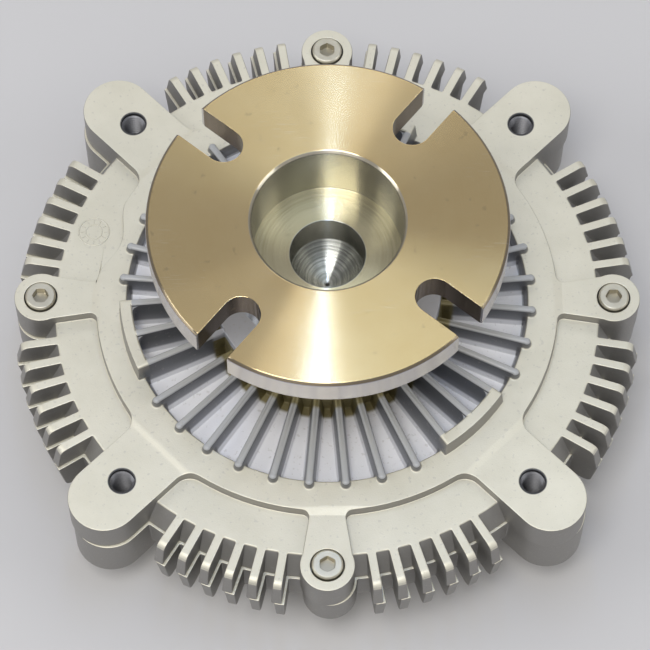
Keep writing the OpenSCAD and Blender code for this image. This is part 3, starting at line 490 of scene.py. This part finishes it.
def ground_steel():
    """Ground bearing steel with fine lines round the axis."""
    f = Finish("ground_bearing_steel")
    lines = f.rings(f.radius(), 5200)
    tone = f.mix(lines, (0.50, 0.51, 0.53), (0.66, 0.67, 0.69))
    skin = f.bump(lines, strength=0.08, depth=0.01 * MM)
    return f.surface(tone, f.span(f.noise(150), 0.16, 0.26), skin)


def turned_aluminium():
    """Fine-turned aluminium of the rotor and rivets."""
    f = Finish("turned_aluminium")
    lines = f.rings(f.radius(), 3600)
    tone = f.mix(lines, (0.66, 0.66, 0.66), (0.78, 0.78, 0.77))
    skin = f.bump(lines, strength=0.15, depth=0.02 * MM)
    return f.surface(tone, f.span(f.noise(120), 0.22, 0.34), skin)


def spring_steel():
    """Dark tempered spring steel with a faint blue and straw bloom."""
    f = Finish("tempered_spring_steel")
    bloom = f.noise(260, detail=3)
    tone = f.mix(bloom, (0.22, 0.23, 0.26), (0.36, 0.34, 0.31))
    skin = f.bump(f.noise(1800), strength=0.12, depth=0.02 * MM)
    return f.surface(tone, f.span(bloom, 0.30, 0.42), skin)


def seal_rubber():
    """Black moulded seal rubber with a dusty bloom."""
    f = Finish("black_seal_rubber")
    dust = f.noise(300, detail=4)
    tone = f.mix(dust, (0.012, 0.012, 0.013), (0.035, 0.034, 0.033))
    skin = f.bump(f.noise(2600), strength=0.2, depth=0.03 * MM)
    return f.surface(tone, f.span(dust, 0.50, 0.68), skin, metal=0.0)


def bimetal_strip():
    """Rolled bimetal, brassy with straw and brown heat tints along the strip."""
    f = Finish("rolled_bimetal")
    rolled = f.rings(f.axes()[2], 5200)
    heat = f.noise(110)
    tone = f.mix(heat, (0.50, 0.41, 0.27), (0.66, 0.56, 0.40))
    tone = f.tint(rolled, 0.3, tone, (0.36, 0.28, 0.19))
    skin = f.bump(rolled, strength=0.1, depth=0.02 * MM)
    return f.surface(tone, f.span(heat, 0.26, 0.38), skin)


def bench_paper():
    """Pale grey bench surface."""
    f = Finish("bench_paper")
    tone = f.mix(f.noise(6), (0.535, 0.525, 0.52), (0.575, 0.565, 0.56))
    f.shader.inputs["Specular IOR Level"].default_value = 0.05
    skin = f.bump(f.noise(900), strength=0.05, depth=0.1 * MM)
    return f.surface(tone, f.span(f.noise(40), 0.8, 0.95), skin, metal=0.0)


# Modelling helpers

def clear_selection():
    if bpy.context.mode != "OBJECT":
        bpy.ops.object.mode_set(mode="OBJECT")
    bpy.ops.object.select_all(action="DESELECT")


def activate(obj):
    clear_selection()
    obj.select_set(True)
    bpy.context.view_layer.objects.active = obj


def edit(obj):
    """Opens a piece for editing, with all of it selected."""
    activate(obj)
    bpy.ops.object.mode_set(mode="EDIT")
    bpy.ops.mesh.select_mode(type="VERT")
    bpy.ops.mesh.select_all(action="SELECT")


def edit_edges(obj):
    """Opens a piece for editing by its edges, with none selected."""
    edit(obj)
    bpy.ops.mesh.select_mode(type="EDGE")
    bpy.ops.mesh.select_all(action="DESELECT")


def leave_edit():
    bpy.ops.object.mode_set(mode="OBJECT")


def settle(obj):
    """Moves the object's place into its mesh, so that it sits at the origin."""
    activate(obj)
    bpy.ops.object.transform_apply(location=True, rotation=True, scale=True)


def finish_modifier(obj, kind, name, **settings):
    activate(obj)
    modifier = obj.modifiers.new(name, kind)
    for key, value in settings.items():
        setattr(modifier, key, value)
    bpy.ops.object.modifier_apply(modifier=modifier.name)


def smooth(obj, angle):
    activate(obj)
    bpy.ops.object.shade_smooth_by_angle(angle=angle)


def copies(obj, count):
    """The piece and its copies, each with a mesh of its own."""
    made = [obj]
    for _ in range(count - 1):
        activate(obj)
        bpy.ops.object.duplicate(linked=False)
        made.append(bpy.context.object)
    return made


def mount_piece(obj, body, slot, finish, *nodes):
    """Gives a piece its finish and its body, and hides the nodes that it stands for; the slot is not used.
    """
    obj.data.materials.clear()
    obj.data.materials.append(finish)
    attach(obj, body)
    if nodes:
        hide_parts(*nodes)


def solid_copy(node, name):
    """A merged copy of a node, ready for its edges to be rounded."""
    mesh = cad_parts[node].data.copy()
    piece = bpy.data.objects.new(name, mesh)
    bpy.context.scene.collection.objects.link(piece)
    edit(piece)
    bpy.ops.mesh.customdata_custom_splitnormals_clear()
    bpy.ops.mesh.remove_doubles(threshold=2 * WELD)
    bpy.ops.mesh.dissolve_degenerate(threshold=4 * WELD)
    bpy.ops.mesh.dissolve_limited(angle_limit=FLAT_ANGLE)
    leave_edit()
    return piece


def drop_flaps(piece):
    """Removes small faces that hang on one edge of the closed skin."""
    edit_edges(piece)
    bpy.ops.mesh.select_non_manifold(
        extend=False, use_wire=True, use_boundary=True, use_multi_face=False,
        use_non_contiguous=False, use_verts=False,
    )
    bpy.ops.mesh.delete(type="EDGE")
    leave_edit()


def in_pocket(spot):
    """True in the tight corners of the three dish blocks, whose own fillets are already round."""
    turn = math.atan2(spot.y, spot.x) - BLOCK_TURN
    from_block = (turn + BLOCK_STEP / 2) % BLOCK_STEP - BLOCK_STEP / 2
    r = math.hypot(spot.x, spot.y)
    return abs(from_block) < POCKET_HALF and POCKET_IN_R < r < POCKET_OUT_R


def round_edges(piece, width, leave=None):
    """Rounds the sharp edges, apart from those to leave, and keeps the flat faces flat."""
    edit_edges(piece)
    bpy.ops.mesh.edges_select_sharp(sharpness=SHARP_ANGLE)
    leave_edit()
    mesh = piece.data
    weights = mesh.attributes.new("bevel_weight_edge", "FLOAT", "EDGE")
    for edge in mesh.edges:
        spots = [mesh.vertices[index].co for index in edge.vertices]
        left = leave is not None and all(leave(spot) for spot in spots)
        weights.data[edge.index].value = 1.0 if edge.select and not left else 0.0
    finish_modifier(
        piece, "BEVEL", "edge_round", width=width, segments=2, limit_method="WEIGHT",
        use_clamp_overlap=False, loop_slide=False, miter_outer="MITER_ARC", harden_normals=False,
    )
    mesh.attributes.remove(mesh.attributes["bevel_weight_edge"])
    edit(piece)
    bpy.ops.mesh.remove_doubles(threshold=WELD)
    bpy.ops.mesh.dissolve_degenerate(threshold=WELD)
    leave_edit()
    smooth(piece, SMOOTH_ANGLE)
    finish_modifier(piece, "WEIGHTED_NORMAL", "flat_faces", weight=50, keep_sharp=True)
    finish_modifier(piece, "TRIANGULATE", "small_faces", keep_custom_normals=True)
    drop_flaps(piece)


# Pieces

def main_bodies(cast, chromate, zinc):
    """The castings, the shaft and the screws, with rounded edges."""
    rows = (
        ("rear_housing", "rear_housing_cast", CAST_ROUND, in_pocket,
         "housing", "cast_aluminium", cast),
        ("front_cover", "front_cover_cast", CAST_ROUND, None,
         "housing", "cast_aluminium", cast),
        ("input_shaft", "input_shaft_turned", SHAFT_ROUND, None,
         "drive", "chromated_steel", chromate),
        ("cover_bolts", "cover_screws", SMALL_ROUND, None,
         "housing", "zinc_plated_steel", zinc),
    )
    for node, name, width, leave, body, slot, finish in rows:
        piece = solid_copy(node, name)
        round_edges(piece, width, leave)
        mount_piece(piece, body, slot, finish, node)


def thread_rings(finish):
    """Cut thread in the fan holes: one helical ridge on the bore, copied to the four holes."""
    pitch = 1.25 * MM
    turns = 21
    steps = 28
    ridge_r = 0.4 * MM
    ridge_stretch = 1.58
    ridge_sink = 0.15 * MM
    start_z = LUG_LOW_Z + 0.6 * MM
    inward = Matrix(((0, -1, 0), (0, 0, -1), (1, 0, 0))).to_euler()
    clear_selection()
    bpy.ops.mesh.primitive_circle_add(
        vertices=3, radius=ridge_r, fill_type="NOTHING", rotation=inward,
        location=(FAN_HOLE_R - ridge_sink, 0, 0), scale=(ridge_stretch, 1, 1),
    )
    ridge = bpy.context.object
    settle(ridge)
    finish_modifier(
        ridge, "SCREW", "helix", angle=2 * math.pi, steps=steps, render_steps=steps,
        screw_offset=pitch, iterations=turns, axis="Z", use_merge_vertices=False,
    )
    edit(ridge)
    bpy.ops.mesh.remove_doubles(threshold=WELD)
    bpy.ops.mesh.select_all(action="DESELECT")
    bpy.ops.mesh.select_non_manifold()
    bpy.ops.mesh.fill_holes(sides=4)
    bpy.ops.mesh.select_all(action="SELECT")
    bpy.ops.mesh.normals_make_consistent(inside=False)
    leave_edit()
    smooth(ridge, SMOOTH_ANGLE)
    for index, thread in enumerate(copies(ridge, 4)):
        turn = math.radians(45 + 90 * index)
        thread.name = "fan_hole_thread_%d" % (index + 1)
        thread.location = (FAN_CIRCLE_R * math.cos(turn), FAN_CIRCLE_R * math.sin(turn), start_z)
        settle(thread)
        mount_piece(thread, "housing", "machined_aluminium", finish)


def pad_stamp(finish):
    """Plain round mould mark on one pad: two rings with ticks between them."""
    ring_sizes = ((4.3 * MM, 0.20 * MM), (2.3 * MM, 0.16 * MM))
    ring_flatness = 0.6
    ticks = 12
    tick_r = 3.3 * MM
    tick_size = (1.0 * MM, 0.22 * MM, 0.22 * MM)
    pieces = []
    for major, minor in ring_sizes:
        clear_selection()
        bpy.ops.mesh.primitive_torus_add(
            major_radius=major, minor_radius=minor, major_segments=64, minor_segments=10,
            location=STAMP_PLACE,
        )
        ring = bpy.context.object
        edit(ring)
        bpy.ops.transform.resize(value=(1, 1, ring_flatness), center_override=STAMP_PLACE)
        leave_edit()
        pieces.append(ring)
    clear_selection()
    bpy.ops.mesh.primitive_cube_add(size=1, location=(tick_r, 0, 0), scale=tick_size)
    tick = bpy.context.object
    settle(tick)
    finish_modifier(tick, "BEVEL", "cast_edge", width=0.06 * MM, segments=2)
    for index, mark in enumerate(copies(tick, ticks)):
        mark.rotation_euler = (0, 0, math.radians(360 / ticks * index))
        mark.location = STAMP_PLACE
        settle(mark)
        pieces.append(mark)
    clear_selection()
    for piece in pieces:
        piece.select_set(True)
    stamp = pieces[0]
    bpy.context.view_layer.objects.active = stamp
    bpy.ops.object.join()
    stamp.name = "pad_mould_mark"
    settle(stamp)
    smooth(stamp, math.radians(50))
    mount_piece(stamp, "housing", "cast_aluminium", finish)


def wound_coil(finish):
    """The bimetal coil, whose turns wind up between its anchor and the spindle."""
    coil = solid_copy("bimetal_spring", "bimetal_coil")
    round_edges(coil, SMALL_ROUND)
    coil.data.materials.clear()
    coil.data.materials.append(finish)
    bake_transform(coil, "housing", "valve", start=(COIL_OUT_R, 0, 0), end=(COIL_IN_R, 0, 0))
    # The share of the spindle's turn grows inwards along the spiral
    winding = coil.data.attributes["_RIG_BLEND"]
    for vertex in coil.data.vertices:
        r = math.hypot(vertex.co.x, vertex.co.y)
        share = (COIL_OUT_R - r) / (COIL_OUT_R - COIL_IN_R)
        winding.data[vertex.index].value = min(max(share, 0.0), 1.0)
    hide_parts("bimetal_spring")


def inner_finishes(finishes):
    """Finishes for the nodes that keep their own solids."""
    nodes = {
        "cover_seal": "rubber", "bearing_outer_race": "ground", "bearing_inner_race": "ground",
        "bearing_balls": "ground", "bearing_cage": "zinc", "bearing_rear_seal": "rubber",
        "bearing_front_seal": "rubber", "bearing_circlip": "spring", "rotor": "turned",
        "rotor_retaining_ring": "spring", "divider_plate": "zinc", "divider_rivets": "turned",
        "valve_arm": "spring", "valve_shaft": "ground", "valve_shaft_seal": "rubber",
        "valve_shaft_clip": "spring", "bimetal_anchor": "ground",
    }
    for node, finish in nodes.items():
        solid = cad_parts[node]
        solid.data.materials.clear()
        solid.data.materials.append(finishes[finish])


def lay_floor(finish):
    clear_selection()
    bpy.ops.mesh.primitive_plane_add(size=6, location=(0, 0, FOOT_Z))
    floor = bpy.context.object
    floor.name = "bench_top"
    settle(floor)
    floor.data.materials.append(finish)


place_camera()
light_bench()
cast = blasted_casting()
finishes = {
    "zinc": zinc_plate(), "ground": ground_steel(), "turned": turned_aluminium(),
    "spring": spring_steel(), "rubber": seal_rubber(),
}
bimetal = bimetal_strip()
main_bodies(cast, chromate_steel(), screw_zinc())
thread_rings(cut_thread())
pad_stamp(cast)
wound_coil(bimetal)
inner_finishes(finishes)
lay_floor(bench_paper())
